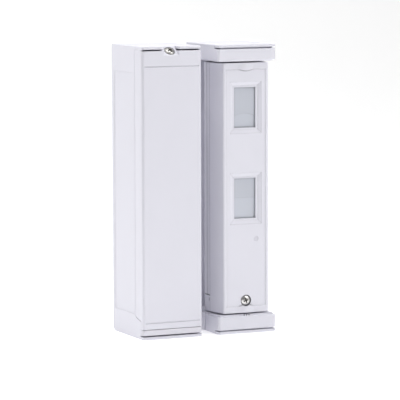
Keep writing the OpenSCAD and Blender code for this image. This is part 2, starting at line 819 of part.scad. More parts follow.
// End plate as it lies at the foot: a full width lip in front, a narrow rear part, a rib and two pegs
module end_plate() {
    rib_y = front_y + side_wall + tray_gap;
    linear_extrude(lip_t) intersection() {
        round_rect(unit_w, unit_d, corner_r);
        translate([-half_w, front_y]) square([unit_w, lip_d]);
    }
    span([-inner_w / 2 + tray_gap, front_y + lip_d - eps, 0], [inner_w / 2 - tray_gap, sensor_back - tray_gap, lip_t]);
    span([-inner_w / 2 + tray_gap, rib_y, lip_t / 2], [inner_w / 2 - tray_gap, rib_y + tray_wall, strip_foot + tray_wall]);
    for (x = [-1, 1] * peg_x)
        translate([x, peg_y, lip_t / 2]) cylinder(r = peg_r, h = lip_t / 2 + peg_len);
}

module bottom_plate() {
    color(case_colour) translate([sensor_x, 0, 0]) intersection() {
        end_plate();
        unit_block();
    }
}

module top_cap() {
    color(case_colour) translate([sensor_x, 0, unit_h]) mirror([0, 0, 1]) end_plate();
}

// Places its children on the turning axis of the head
module at_axis() {
    translate([sensor_x, axis_y, 0]) children();
}

// Ring about the axis from z0 to z1
module ring(r_in, r_out, z0, z1) {
    difference() {
        translate([0, 0, z0]) cylinder(r = r_out, h = z1 - z0);
        translate([0, 0, z0 - eps]) cylinder(r = r_in, h = z1 - z0 + 2 * eps);
    }
}

module lower_bush() {
    bore = journal_d / 2 + running_gap;
    color(inner_colour) at_axis() {
        ring(bore, lower_bush_r, lower_deck, plateau_top + bush_flange_t);
        ring(lower_bush_r - fit, lower_bush_r + bush_flange, plateau_top, plateau_top + bush_flange_t);
    }
}

module upper_bush() {
    bore = pin_d / 2 + running_gap;
    color(inner_colour) at_axis() {
        ring(bore, upper_bush_r, upper_plateau_foot - bush_flange_t, upper_deck);
        ring(upper_bush_r - fit, upper_bush_r + bush_flange, upper_plateau_foot - bush_flange_t, upper_plateau_foot);
    }
}

module friction_washer() {
    color(metal_colour) at_axis()
        ring(journal_d / 2 + fit, journal_d / 2 + washer_wall, clip_top, washer_top);
}

// Open ring that snaps into the groove of the journal
module journal_clip() {
    groove_r = journal_d / 2 - clip_groove;
    clip_wall_share = 0.8;
    mouth_share = 0.6;
    color(metal_colour) at_axis() difference() {
        ring(groove_r + fit, journal_d / 2 + washer_wall * clip_wall_share, clip_top - clip_t, clip_top);
        span([-groove_r * mouth_share, 0, clip_top - clip_t - eps],
             [groove_r * mouth_share, journal_d, clip_top + eps]);
    }
}

// Rear part of a disc about the axis, behind the cover seam
module rear_disc(r, z0, z1, y0) {
    intersection() {
        translate([0, 0, z0]) cylinder(r = r, h = z1 - z0);
        span([-head_r - eps, y0, z0 - eps], [head_r + eps, head_r + eps, z1 + eps]);
    }
}

rear_y = -head_seam + shell_seam / 2;
cover_y = -head_seam - shell_seam / 2;
floor_rim = 1;
floor_r = journal_d / 2 + floor_rim;
pin_rim = 1.5;
top_disc_r = pin_d / 2 + pin_rim;
rim_h = 4;
rim_wall = 1.4;
latch_depth = 0.4;
latch_h = 1.8;
latch_w = 0.7;
latch_y = rear_y + latch_w;
band_depth = 0.3;
band_inset = 1.6;
band_y = rear_y + band_inset;
band_w = 2.3;
boss_y = plate_back + fit;
seat_depth = 1.5;

// Base of the head: lower end of the rear shell, the journal, the rim that centres the shell and the screw boss
module head_base() {
    color(case_colour) at_axis() difference() {
        union() {
            difference() {
                rear_disc(shell_r, head_foot, base_top - shell_seam / 2, rear_y);
                rear_disc(inner_r, head_foot + head_wall, base_top, rear_y - eps);
            }
            difference() {
                rear_disc(inner_r + fit, base_top - rim_h, base_top + rim_h, 0);
                translate([0, 0, base_top - rim_h - eps]) cylinder(r = inner_r - rim_wall, h = 2 * rim_h + 2 * eps);
                ring(inner_r - fit, head_r, base_top - shell_seam / 2, base_top + rim_h + eps);
            }
            translate([0, 0, head_foot]) cylinder(r = floor_r, h = head_wall);
            translate([0, 0, journal_foot]) cylinder(d = journal_d, h = head_foot - journal_foot + head_wall / 2);
            rod_y(0, head_screw_z, boss_y, inner_r - rim_wall / 2, boss_r);
        }
        translate([0, 0, journal_foot - eps]) cylinder(d = journal_bore, h = head_foot - journal_foot + head_wall + 2 * eps);
        ring(journal_d / 2 - clip_groove, journal_d, clip_top - clip_t, clip_top);
        rod_y(0, head_screw_z, boss_y - eps, boss_y + screw_len, thread_d / 2 + fit);
        for (s = [-1, 1])
            span([s * shell_r - latch_depth, latch_y, head_screw_z - latch_h / 2],
                 [s * shell_r + latch_depth, latch_y + latch_w, head_screw_z + latch_h / 2]);
    }
}

// Places on the sensor board
board_front = -1;
board_drop = 4;
board_top = head_top - board_drop;
board_post_r = 3;
board_edge = 0.4;
foot_screw_rise = 4;
board_screw_z = [board_foot + foot_screw_rise, board_top - board_post_r - board_edge];
board_screw_len = 6;

// Rear shell of the head with its upper pin and the two posts that carry the board
module head_rear() {
    foot = base_top + shell_seam / 2;
    color(case_colour) at_axis() difference() {
        union() {
            difference() {
                rear_disc(shell_r, foot, head_top, rear_y);
                rear_disc(inner_r, foot - eps, head_top - head_wall, rear_y - eps);
            }
            translate([0, 0, head_top - head_wall]) cylinder(r = top_disc_r, h = head_wall);
            translate([0, 0, head_top - head_wall / 2]) cylinder(d = pin_d, h = pin_len + head_wall / 2);
            for (z = board_screw_z) rod_y(0, z, board_front + board_t, inner_r + fit, board_post_r);
        }
        intersection() {
            ring(shell_r - band_depth, head_r, foot - eps, head_top + eps);
            span([-head_r - eps, band_y, foot - 2 * eps],
                 [head_r + eps, band_y + band_w, head_top + 2 * eps]);
        }
        for (z = board_screw_z)
            rod_y(0, z, board_front + board_t - eps, board_front + board_t + board_screw_len, thread_d / 2 + fit);
    }
}

// Half width of the head at depth y before the axis, less an inset
function head_side(y) = head_half + flare * (y + head_front);

// Plan of the front cover: a flat front, round corners and straight flared sides
flare_angle = atan(flare);
cover_right = concat(
    arc(head_half + flare * head_corner_r - head_corner_r / cos(flare_angle), head_corner_r - head_front,
        head_corner_r, -90, -flare_angle, 5),
    [[head_side(cover_y), cover_y]]);
cover_plan = concat(cover_right, [for (i = [len(cover_right) - 1 : -1 : 0]) [-cover_right[i][0], cover_right[i][1]]]);
cover_inner = [
    [-head_side(plate_back) + head_wall, plate_back], [head_side(plate_back) - head_wall, plate_back],
    [head_side(cover_y + eps) - head_wall, cover_y + eps], [-head_side(cover_y + eps) + head_wall, cover_y + eps]];

// Bevelled opening: mitred bevel, flat lip and the clear window, all cut about z
module window_cut(z) {
    lip_w = window_w / 2 + window_lip;
    lip_h = window_h / 2 + window_lip;
    y1 = panel_y + bevel_depth;
    y2 = panel_y + bevel_step;
    y3 = panel_y + frame_edge;
    mid = window_bevel / 2;
    translate([0, 0, z]) {
        intersection() {
            translate([0, 0, -window_h]) linear_extrude(2 * window_h) polygon([
                [-lip_w, y1], [lip_w, y1], [lip_w + mid, y2], [lip_w + window_bevel, y3],
                [lip_w + window_bevel, panel_y - eps], [-lip_w - window_bevel, panel_y - eps],
                [-lip_w - window_bevel, y3], [-lip_w - mid, y2]]);
            side_profile(2 * unit_w, [
                [y1, -lip_h], [y1, lip_h], [y2, lip_h + mid], [y3, lip_h + window_bevel],
                [panel_y - eps, lip_h + window_bevel], [panel_y - eps, -lip_h - window_bevel],
                [y3, -lip_h - window_bevel], [y2, -lip_h - mid]]);
        }
        span([-window_w / 2, y1 - eps, -window_h / 2], [window_w / 2, plate_back + eps, window_h / 2]);
    }
}

// Sunk front panel with sloped edges
module panel_cut() {
    floor_half = panel_half - panel_draft;
    intersection() {
        translate([0, 0, head_foot]) linear_extrude(head_h) polygon([
            [-panel_half, -head_front - eps], [panel_half, -head_front - eps], [panel_half, -head_front],
            [floor_half, panel_y], [-floor_half, panel_y], [-panel_half, -head_front]]);
        side_profile(2 * unit_w, [
            [panel_y, panel_foot + panel_draft], [panel_y, panel_top - panel_draft], [-head_front, panel_top],
            [-head_front - eps, panel_top], [-head_front - eps, panel_foot], [-head_front, panel_foot]]);
    }
}

boss_half = 6.8;
boss_dip = 1;
boss_bulge = 0.9;
boss_sink = 0.05;
boss_steps = 12;

// Share of its full height that a boss has at x
function boss_share(x) = (1 + cos(180 * x / boss_half)) / 2;

// Low boss that swells softly from the end strips of the head and dips into the panel; it opens upwards
module end_boss() {
    xs = [for (i = [-boss_steps : boss_steps]) boss_half * i / boss_steps];
    intersection() {
        translate([0, 0, -boss_dip]) linear_extrude(boss_dip + panel_strip) polygon(concat(
            [for (x = xs) [x, boss_sink - head_front - (boss_bulge + boss_sink) * boss_share(x)]],
            [[boss_half, plate_back - eps], [-boss_half, plate_back - eps]]));
        translate([0, plate_back - eps, 0]) rotate([90, 0, 0]) linear_extrude(head_plate + boss_bulge) polygon(concat(
            [for (x = xs) [x, boss_sink - (boss_dip + boss_sink) * boss_share(x)]],
            [[boss_half, panel_strip], [-boss_half, panel_strip]]));
    }
}

// Front cover of the head
module head_front() {
    color(case_colour) at_axis() difference() {
        union() {
            difference() {
                translate([0, 0, head_foot]) linear_extrude(head_h) polygon(cover_plan);
                translate([0, 0, head_foot + head_wall]) linear_extrude(head_h - 2 * head_wall) polygon(cover_inner);
                panel_cut();
            }
            translate([0, 0, panel_top]) end_boss();
            translate([0, 0, panel_foot]) mirror([0, 0, 1]) end_boss();
            rod_y(head_tamper_x, head_tamper_z, plate_back - eps, head_plunger_y - play, tamper_d / 2 + eps);
        }
        for (z = [upper_window_z, lower_window_z]) window_cut(z);
        rod_y(led_x, led_z, -head_front - eps, plate_back + eps, guide_d / 2 + fit);
        rod_y(0, head_screw_z, -head_front - eps, panel_y + seat_depth, screw_seat_d / 2);
        rod_y(0, head_screw_z, -head_front - eps, plate_back + eps, screw_d / 2 + play);
        translate([0, 0, head_foot - eps]) cylinder(r = floor_r + seam, h = head_wall + 2 * eps);
        translate([0, 0, head_top - head_wall - eps]) cylinder(r = top_disc_r + seam, h = head_wall + 2 * eps);
    }
}

// Rubber seal inside the seam of the head, and the half width that the lens frame and the board may take
head_seal_share = 0.7;
head_seal_t = seal_t * head_seal_share;
head_seal_half = head_side(cover_y) - head_wall - 2 * play;
frame_clear = 1.18;
frame_half = min(head_side(plate_back) - head_wall, head_seal_half - head_seal_t) - frame_clear;
board_half = frame_half - fit;
module head_seal() {
    color(rubber_colour) at_axis()
        frame_y(2 * head_seal_half, head_foot + head_wall + fit, head_top - head_wall - fit, head_seal_t,
                cover_y - seal_t / 2, rear_y + seal_t / 2);
}

// Lens behind a window: a thin plate whose lower zone, cut by the tool, is thinner
lens_y = plate_back + fit;
lens_back = lens_y + lens_t;
zone_step = 0.25;
upper_zone_share = 0.14;
lower_zone_share = 0.02;

module lens_plate(z) {
    span([-window_w / 2 - lens_edge, lens_y, z - window_h / 2 - lens_edge],
         [window_w / 2 + lens_edge, lens_back, z + window_h / 2 + lens_edge]);
}

// Upper lens: the two zones meet in an arc
module upper_lens() {
    arc_top = upper_window_z - window_h * upper_zone_share;
    arc_r = window_w;
    color(lens_colour) at_axis() difference() {
        lens_plate(upper_window_z);
        intersection() {
            translate([0, 0, arc_top - arc_r]) rod_y(0, 0, lens_y - eps, lens_y + zone_step, arc_r);
            span([-window_w / 2, lens_y - eps, upper_window_z - window_h / 2],
                 [window_w / 2, lens_y + zone_step, arc_top]);
        }
    }
}

// Lower lens: the two zones meet in a level line
module lower_lens() {
    color(lens_colour) at_axis() difference() {
        lens_plate(lower_window_z);
        span([-window_w / 2, lens_y - eps, lower_window_z - window_h / 2],
             [window_w / 2, lens_y + zone_step, lower_window_z + window_h * lower_zone_share]);
    }
}

// Frame that presses both lenses to the cover and shields the two sensor cans
module lens_frame() {
    chamber_half = window_w / 2 + fit;
    color(black_colour) at_axis() difference() {
        span([-frame_half, lens_back + fit, frame_foot],
             [frame_half, board_front - fit, upper_window_z + frame_h / 2]);
        for (z = [upper_window_z, lower_window_z])
            span([-chamber_half, lens_back - eps, z - window_h / 2], [chamber_half, board_front + eps, z + window_h / 2]);
        span([-frame_half - eps, (lens_back + board_front) / 2, lower_window_z + frame_h / 2],
             [frame_half + eps, board_front + eps, upper_window_z - frame_h / 2]);
    }
}

module sensor_board() {
    color(board_colour) at_axis() difference() {
        span([-board_half, board_front, board_foot], [board_half, board_front + board_t, board_top]);
        for (z = board_screw_z)
            rod_y(0, z, board_front - eps, board_front + board_t + eps, thread_d / 2 + play);
    }
}

module board_screws() {
    board_head_d = 4.8;
    board_head_h = 1.6;
    color(metal_colour) at_axis() for (z = board_screw_z)
        translate([0, board_front, z]) rotate([90, 0, 0]) pan_screw(board_head_d, board_head_h, board_screw_len);
}

// Sensor can: flange, cap and the sunk filter window
module sensor_can(z) {
    can_r = 4.1;
    can_h = 4.2;
    flange_r = 4.6;
    flange_t = 0.6;
    filter_w = 3;
    filter_h = 4;
    filter_sink = 0.3;
    color(metal_colour) at_axis() difference() {
        union() {
            rod_y(0, z, board_front - flange_t, board_front, flange_r);
            rod_y(0, z, board_front - can_h, board_front - flange_t / 2, can_r);
        }
        span([-filter_w / 2, board_front - can_h - eps, z - filter_h / 2],
             [filter_w / 2, board_front - can_h + filter_sink, z + filter_h / 2]);
    }
}
module upper_pyro() sensor_can(upper_window_z);
module lower_pyro() sensor_can(lower_window_z);

// Indicator LED with its round end, and the light guide that carries its light to the front
led_len = 4.3;
module indicator_led() {
    led_r = guide_d / 2;
    color([0.9, 0.3, 0.25]) at_axis() {
        rod_y(led_x, led_z, board_front - led_len + led_r, board_front, led_r);
        translate([led_x, board_front - led_len + led_r, led_z]) sphere(r = led_r);
    }
}

module light_guide() {
    collar = 1;
    color(lens_colour) at_axis() {
        rod_y(led_x, led_z, panel_y + fit, board_front - led_len - play, guide_d / 2);
        rod_y(led_x, led_z, plate_back + fit, plate_back + collar, guide_d / 2 + collar);
    }
}

// Setting switch: a block with one slot for each slider
dip_x = -5.6;
dip_count = 3;
dip_t = 3.6;
slider_w = 1.2;
slider_gap = 0.08;
slider_depth = 1.2;
slider_out = 0.6;
function dip_place(i) = dip_x + (i - (dip_count - 1) / 2) * dip_pitch;
module dip_switch() {
    w = dip_count * dip_pitch + slider_w;
    slot_h = slider_w + dip_travel + 2 * slider_gap;
    color([0.7, 0.12, 0.1]) at_axis() difference() {
        span([dip_x - w / 2, board_front - dip_t, dip_z - dip_h / 2], [dip_x + w / 2, board_front, dip_z + dip_h / 2]);
        for (i = [0 : dip_count - 1])
            translate([dip_place(i) - slider_w / 2 - slider_gap, board_front - dip_t - eps, dip_z - slot_h / 2])
                cube([slider_w + 2 * slider_gap, slider_depth + eps, slot_h]);
    }
}
module dip_slider(i) {
    color(case_colour) at_axis()
        translate([dip_place(i) - slider_w / 2, board_front - dip_t - slider_out, dip_z - (slider_w + dip_travel) / 2])
            cube([slider_w, slider_out + slider_depth - slider_gap, slider_w]);
}
module dip_slider_1() dip_slider(0);
module dip_slider_2() dip_slider(1);
module dip_slider_3() dip_slider(2);

// Sensitivity dial: a socket on the board and a slotted disc on a stub shaft
dial_x = led_x;
dial_z = dip_z;
socket_w = 7;
socket_t = 2.6;
dial_t = 1.4;
stub_r = 1;
stub_len = 2;
module dial_socket() {
    color(black_colour) at_axis() difference() {
        span([dial_x - socket_w / 2, board_front - socket_t, dial_z - socket_w / 2],
             [dial_x + socket_w / 2, board_front, dial_z + socket_w / 2]);
        rod_y(dial_x, dial_z, board_front - socket_t - eps, board_front - socket_t + stub_len + slider_gap,
              stub_r + running_gap);
    }
}
module sensitivity_dial() {
    back = board_front - socket_t - slider_gap;
    slot_w = 0.8;
    color(case_colour) at_axis() difference() {
        union() {
            rod_y(dial_x, dial_z, back - dial_t, back, dial_d / 2);
            rod_y(dial_x, dial_z, back - dial_t / 2, back + stub_len, stub_r);
        }
        span([dial_x - slot_w / 2, back - dial_t - eps, dial_z - dial_d / 4],
             [dial_x + slot_w / 2, back - dial_t / 2, dial_z + dial_d]);
    }
}

// Terminal block with three wire mouths below and three screw holes in front
module terminal_block() {
    way_w = 5;
    ways = 3;
    block_t = 9;
    mouth = 2.6;
    color([0.15, 0.4, 0.25]) at_axis() difference() {
        span([-ways * way_w / 2, board_front - block_t, terminal_z],
             [ways * way_w / 2, board_front, terminal_z + terminal_h]);
        for (i = [-1 : 1]) {
            rod_y(i * way_w, terminal_z + terminal_h / 2, board_front - block_t - eps, board_front - block_t / 2,
                  mouth / 2);
            translate([i * way_w - mouth / 2, board_front - block_t / 2 - mouth / 2, terminal_z - eps])
                cube([mouth, mouth, terminal_h / 2 + eps]);
        }
    }
}

head_tamper_x = -led_x;
head_tamper_z = led_z;
head_plunger_y = board_front - switch_h - plunger_out;
module head_tamper_switch() {
    color(black_colour) at_axis() tamper_body(head_tamper_x, board_front, head_tamper_z);
}
module head_tamper_plunger() {
    color(case_colour) at_axis() tamper_pin(head_tamper_x, board_front, head_tamper_z);
}

// Front screw of the head, its cross turned a little as in use
module head_screw() {
    cross_turn = 17;
    color(metal_colour) at_axis() translate([0, panel_y + seat_depth, head_screw_z])
        rotate([90, 0, 0]) rotate([0, 0, cross_turn]) pan_screw(screw_head_d, screw_head_h, screw_len - eps);
}

box_case();
box_cover();
box_tray();
box_seal();
cover_screw();
tray_screws();
battery_holder();
battery_1();
battery_2();
battery_contacts();
transmitter_board();
transmitter_module();
box_tamper_switch();
box_tamper_plunger();
cable_grommet();
link_duct();
link_seals();
sensor_case();
top_cap();
bottom_plate();
upper_bush();
lower_bush();
friction_washer();
journal_clip();
head_base();
head_rear();
head_front();
head_seal();
upper_lens();
lower_lens();
lens_frame();
sensor_board();
board_screws();
upper_pyro();
lower_pyro();
indicator_led();
light_guide();
dip_switch();
dip_slider_1();
dip_slider_2();
dip_slider_3();
dial_socket();
sensitivity_dial();
terminal_block();
head_tamper_switch();
head_tamper_plunger();
head_screw();
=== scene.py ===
import json
import math

import bmesh
import bpy
from mathutils import Matrix, Vector


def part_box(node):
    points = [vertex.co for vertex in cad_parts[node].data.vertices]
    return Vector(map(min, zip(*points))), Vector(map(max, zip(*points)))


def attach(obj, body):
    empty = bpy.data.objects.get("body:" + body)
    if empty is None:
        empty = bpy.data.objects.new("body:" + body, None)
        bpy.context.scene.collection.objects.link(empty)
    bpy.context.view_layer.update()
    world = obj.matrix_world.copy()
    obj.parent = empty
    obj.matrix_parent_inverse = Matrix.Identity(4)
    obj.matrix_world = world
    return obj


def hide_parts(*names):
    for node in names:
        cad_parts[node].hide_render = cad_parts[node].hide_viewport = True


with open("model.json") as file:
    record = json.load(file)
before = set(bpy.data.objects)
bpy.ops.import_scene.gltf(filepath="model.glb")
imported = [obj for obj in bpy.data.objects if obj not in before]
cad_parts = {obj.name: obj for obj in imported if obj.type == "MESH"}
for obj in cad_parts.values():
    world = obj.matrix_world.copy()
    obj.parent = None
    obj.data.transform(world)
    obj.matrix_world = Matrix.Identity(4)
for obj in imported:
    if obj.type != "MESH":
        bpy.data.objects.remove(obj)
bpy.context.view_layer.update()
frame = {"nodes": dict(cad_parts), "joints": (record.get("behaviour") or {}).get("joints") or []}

# Battery case
# A deep white shell of matte, weather proof resin, moulded in one piece with its end lips, the two cheeks
# at the foot and the posts for the tray. It is screwed to the wall from inside.
MM = 0.001
CASE_WHITE = (0.742, 0.737, 0.804)
RESIN_IOR = 1.49
RESIN_CLOUDS = {"Scale": 45, "Detail": 3}
RESIN_PORES = {"Scale": 2600, "Detail": 2}
PORE_DEPTH = 0.05 * MM
RESIN_GLOSS_DRIFT = 0.05
MILK_RADIUS = (1.0, 0.9, 0.8)
MILK_DEPTH = 1.5 * MM
MIX_ENDS, MIX_RESULT = (6, 7), 2     # a Mix node's colour sockets
WELD_REACH = 0.002 * MM
EDGE_STEPS = 3
EDGE_ANGLE = math.radians(28)


def add_node(material, kind, **values):
    """Adds a shader node and sets its inputs by name, with _ for each space in a name."""
    node = material.node_tree.nodes.new("ShaderNode" + kind)
    for name, value in values.items():
        node.inputs[name.replace("_", " ")].default_value = value
    return node


def shader_of(material):
    """The shader that a new material comes with."""
    return material.node_tree.nodes["Principled BSDF"]


def finish(name, tones, roughness, gloss_drift, drift, grain, strength, depth):
    """A finish whose tone and gloss drift with one noise, and whose surface is broken by another."""
    material = bpy.data.materials.new(name)
    material.use_nodes = True
    join = material.node_tree.links.new
    place = add_node(material, "TexCoord").outputs["Object"]
    clouds = add_node(material, "TexNoise", **drift)
    join(place, clouds.inputs["Vector"])
    tone = add_node(material, "Mix")
    tone.data_type = "RGBA"
    for socket, colour in zip(MIX_ENDS, tones):
        tone.inputs[socket].default_value = (*colour, 1)
    join(clouds.outputs["Fac"], tone.inputs["Factor"])
    join(tone.outputs[MIX_RESULT], shader_of(material).inputs["Base Color"])
    gloss = add_node(material, "MapRange", To_Min=roughness - gloss_drift, To_Max=roughness + gloss_drift)
    join(clouds.outputs["Fac"], gloss.inputs["Value"])
    join(gloss.outputs["Result"], shader_of(material).inputs["Roughness"])
    pores = add_node(material, "TexNoise", **grain)
    join(place, pores.inputs["Vector"])
    bump = add_node(material, "Bump", Strength=strength, Distance=depth)
    join(pores.outputs["Fac"], bump.inputs["Height"])
    join(bump.outputs["Normal"], shader_of(material).inputs["Normal"])
    return material


def plastic(name, colour, roughness, grain=0.04, tint=0.015, clear=0.0):
    """Moulded resin: tint is the drift of its tone, grain the roughness of its mould, clear its milkiness."""
    tones = [[min(1, c * (1 + shift)) for c in colour] for shift in (-tint, tint)]
    material = finish(name, tones, roughness, RESIN_GLOSS_DRIFT, RESIN_CLOUDS, RESIN_PORES, grain, PORE_DEPTH)
    shader = shader_of(material)
    shader.inputs["IOR"].default_value = RESIN_IOR
    if clear:
        shader.inputs["Subsurface Weight"].default_value = clear
        shader.inputs["Subsurface Radius"].default_value = MILK_RADIUS
        shader.inputs["Subsurface Scale"].default_value = MILK_DEPTH
    return material


def dress(node, material, edge=0.0):
    """Gives a CAD node its finish and breaks its sharp edges by a small radius in mm."""
    piece = frame["nodes"][node]
    piece.data.materials.clear()
    piece.data.materials.append(material)
    if edge:
        weld = piece.modifiers.new("weld", "WELD")
        weld.merge_threshold = WELD_REACH
        bevel = piece.modifiers.new("edges", "BEVEL")
        bevel.width = edge * MM
        bevel.segments = EDGE_STEPS
        bevel.limit_method = "ANGLE"
        bevel.angle_limit = EDGE_ANGLE
        bevel.use_clamp_overlap = False
        bevel.loop_slide = False
        bevel.harden_normals = True


case_resin = plastic("case_resin", CASE_WHITE, roughness=0.52)
dress("box_case", case_resin, edge=0.2)

# Cable grommet
# A soft bush of black rubber in the back wall, through which the cable comes in. It is pushed into its
# round hole from inside, up to the flange.
rubber = plastic("black_rubber", colour=(0.03, 0.03, 0.033), roughness=0.75, grain=0.1)
dress("cable_grommet", rubber, edge=0.15)

# Inner tray and its seal
# A lighter moulding with the chamber for the electronics, sealed by a ring of black rubber on its rim. Four
# tapping screws hold it on the posts of the case, and its foot strip closes the box under the cover.
METAL_MARKS = {"Scale": 900, "Detail": 4}
METAL_GLOSS_DRIFT = 0.08
METAL_SHADE = 0.92
MARK_DEPTH = 0.02 * MM
HEAD_STEPS = 48
DOME_RADIUS = 0.8                                 # of the head's width
DOME_RINGS = 10
DOME_INSET = 0.08
FOOT_EDGE = ((0.2, 0), (0.06, 0.05), (0, 0.2))    # in from the rim, up from the seat
CROWN_EDGE = ((0, 0.22), (0.05, 0.06))            # in from the rim, down from the dome
CROSS_REACH = 0.3                                 # of the head's width
CROSS_HALF = 0.075                                # of the head's width
CROSS_FLOOR = 0.32                                # of the head's height
CROSS_MOUTH = ((1.0, 0.2), (0.92, -0.35))         # share of the reach, up from the crown
CROSS_FOOT = ((0.42, 0.25), (0.3, 0))             # share of the reach, up from the floor
CROSS_CORE = 0.45                                 # of the arms' width, which the taper leaves alone
CROSS_WEB = 1.35                                  # half widths from the axis to the corner between two arms
RECESS_TOP_SKIN, RECESS_FLOOR_SKIN = 0.06, 0.05
RECESS_MARGIN = 1.05
THREAD_D, CORE_D, PITCH = 3.0, 2.6, 1.27
SHANK_STEPS = 24
ROWS_PER_TURN = 9
SHANK_ROOT = 0.05                                 # mm inside the head
RIDGE_HALF = 0.24                                 # of the pitch
RUN_OUT = 1.2
POINT_SHARE, POINT_LENGTH = 0.45, 3.2
TRAY_SCREW = {"head_d": 5.0, "head_h": 1.8, "length": 8.0}
TURN_BY_X, TURN_BY_Z = 0.4, 0.1                   # radians per mm; each cross stands at its own angle
FACE_FRONT = Matrix.Rotation(math.radians(90), 4, "X")


def metal(name, colour, roughness, brushed):
    """Bare or plated metal with fine drawing marks in its gloss."""
    tones = ([c * METAL_SHADE for c in colour], colour)
    material = finish(name, tones, roughness, METAL_GLOSS_DRIFT, METAL_MARKS, METAL_MARKS, brushed,
                      MARK_DEPTH)
    shader_of(material).inputs["Metallic"].default_value = 1.0
    return material


def new_piece(name, form, *materials):
    """Turns a bmesh into an object of the scene."""
    mesh = bpy.data.meshes.new(name)
    form.to_mesh(mesh)
    form.free()
    for material in materials:
        mesh.materials.append(material)
    piece = bpy.data.objects.new(name, mesh)
    bpy.context.scene.collection.objects.link(piece)
    return piece


def on_circle(radius, height, step, steps):
    """A point on a level circle about Z."""
    angle = math.tau * step / steps
    return radius * math.cos(angle), radius * math.sin(angle), height


def bridge(form, rings, smooth=False):
    """Joins each ring of vertices to the next by a band of faces."""
    for first, second in zip(rings, rings[1:]):
        for a in range(len(first)):
            b = (a + 1) % len(first)
            form.faces.new((first[a], first[b], second[b], second[a])).smooth = smooth


def crown(r, head_d, head_h):
    """Height of a pan head's domed top at a distance from its axis."""
    dome = head_d * DOME_RADIUS
    return head_h - dome + math.sqrt(dome ** 2 - r ** 2)


def pan_head(head_d, head_h):
    """A turned head in mm, flat below and domed above, with rolled edges."""
    radius = head_d / 2
    rim = crown(radius, head_d, head_h)
    dome = [(radius - DOME_INSET) * (1 - k / DOME_RINGS) for k in range(1, DOME_RINGS)]
    profile = [(radius - inward, up) for inward, up in FOOT_EDGE]
    profile += [(radius - inward, rim - down) for inward, down in CROWN_EDGE]
    profile += [(r, crown(r, head_d, head_h)) for r in dome]
    form = bmesh.new()
    rings = [[form.verts.new(on_circle(r, height, a, HEAD_STEPS)) for a in range(HEAD_STEPS)]
             for r, height in profile]
    bridge(form, rings)
    for ring, height in ((rings[0], 0), (rings[-1], head_h)):
        tip = form.verts.new((0, 0, height))
        for a in range(HEAD_STEPS):
            form.faces.new((tip, ring[a], ring[(a + 1) % HEAD_STEPS]))
    bmesh.ops.recalc_face_normals(form, faces=form.faces)
    return form


def cross_punch(head_d, head_h):
    """The tapered cross that is pressed into a head, in mm."""
    floor = head_h * CROSS_FLOOR
    levels = [(share, head_h + up) for share, up in CROSS_MOUTH]
    levels += [(share, floor + up) for share, up in CROSS_FOOT]
    form = bmesh.new()
    rings = []
    for share, height in levels:
        reach = head_d * CROSS_REACH * share
        half = head_d * CROSS_HALF * (CROSS_CORE + (1 - CROSS_CORE) * share)
        web = half * CROSS_WEB
        arm = [(reach, -half), (reach, half), (web, half), (half, web)]
        outline = []
        for _ in range(4):
            outline += arm
            arm = [(-y, x) for x, y in arm]
        rings.append([form.verts.new((x, y, height)) for x, y in outline])
    bridge(form, rings)
    form.faces.new(rings[0])
    form.faces.new(rings[-1])
    bmesh.ops.recalc_face_normals(form, faces=form.faces)
    return form


def recessed_head(name, head_d, head_h):
    """A pan head with its cross pressed in, whose faces take the second material, which paints the shade
    inside the cross.
    """
    head = new_piece(f"{name}_head", pan_head(head_d, head_h))
    punch = new_piece(f"{name}_punch", cross_punch(head_d, head_h))
    cut = head.modifiers.new("recess", "BOOLEAN")
    cut.operation = "DIFFERENCE"
    cut.solver = "EXACT"
    cut.object = punch
    bpy.context.view_layer.update()
    form = bmesh.new()
    form.from_mesh(head.evaluated_get(bpy.context.evaluated_depsgraph_get()).to_mesh())
    bpy.data.objects.remove(head)
    bpy.data.objects.remove(punch)
    for face in form.faces:
        centre = face.calc_center_median()
        r = math.hypot(centre.x, centre.y)
        below_skin = centre.z < crown(r, head_d, head_h) - RECESS_TOP_SKIN
        above_floor = centre.z > head_h * CROSS_FLOOR - RECESS_FLOOR_SKIN
        within = r < head_d * CROSS_REACH * RECESS_MARGIN
        face.material_index = 1 if below_skin and above_floor and within else 0
        face.smooth = False
    return form


def add_shank(form, length):
    """Adds a shank with a rolled thread that runs out towards its blunt point."""
    rows = int(length / PITCH * ROWS_PER_TURN)
    rings = []
    for row in range(rows + 1):
        z = SHANK_ROOT - (length + SHANK_ROOT) * row / rows
        fade = min(1.0, max(0.0, (z + length) / RUN_OUT))
        taper = min(1.0, POINT_SHARE + (z + length) / POINT_LENGTH)
        ring = []
        for a in range(SHANK_STEPS):
            phase = (z / PITCH - a / SHANK_STEPS) % 1
            ridge = fade * max(0.0, 1 - abs(phase - 0.5) / RIDGE_HALF)
            r = taper * (CORE_D + (THREAD_D - CORE_D) * ridge) / 2
            ring.append(form.verts.new(on_circle(r, z, a, SHANK_STEPS)))
        rings.append(ring)
    bridge(form, rings[::-1], smooth=True)
    form.faces.new(rings[0])
    form.faces.new(rings[-1][::-1])


def drive_screws(node, body, places, plating, head_d, head_h, length):
    """Pan head tapping screws along -Z of each place, which stand for a CAD node and ride with its body."""
    form = recessed_head(node, head_d, head_h)
    add_shank(form, length)
    screw = bpy.data.meshes.new(f"{node}_one")
    form.to_mesh(screw)
    form.free()
    screws = bmesh.new()
    for place in places:
        placed = screw.copy()
        placed.transform(Matrix.Scale(MM, 4) @ place)
        screws.from_mesh(placed)
        bpy.data.meshes.remove(placed)
    piece = new_piece(f"{node}_detail", screws, plating, recess_shade_nickel)
    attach(piece, body)
    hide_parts(node)


def node_box(node):
    """Lowest and highest corner of a CAD node, in mm."""
    return [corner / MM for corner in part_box(node)]


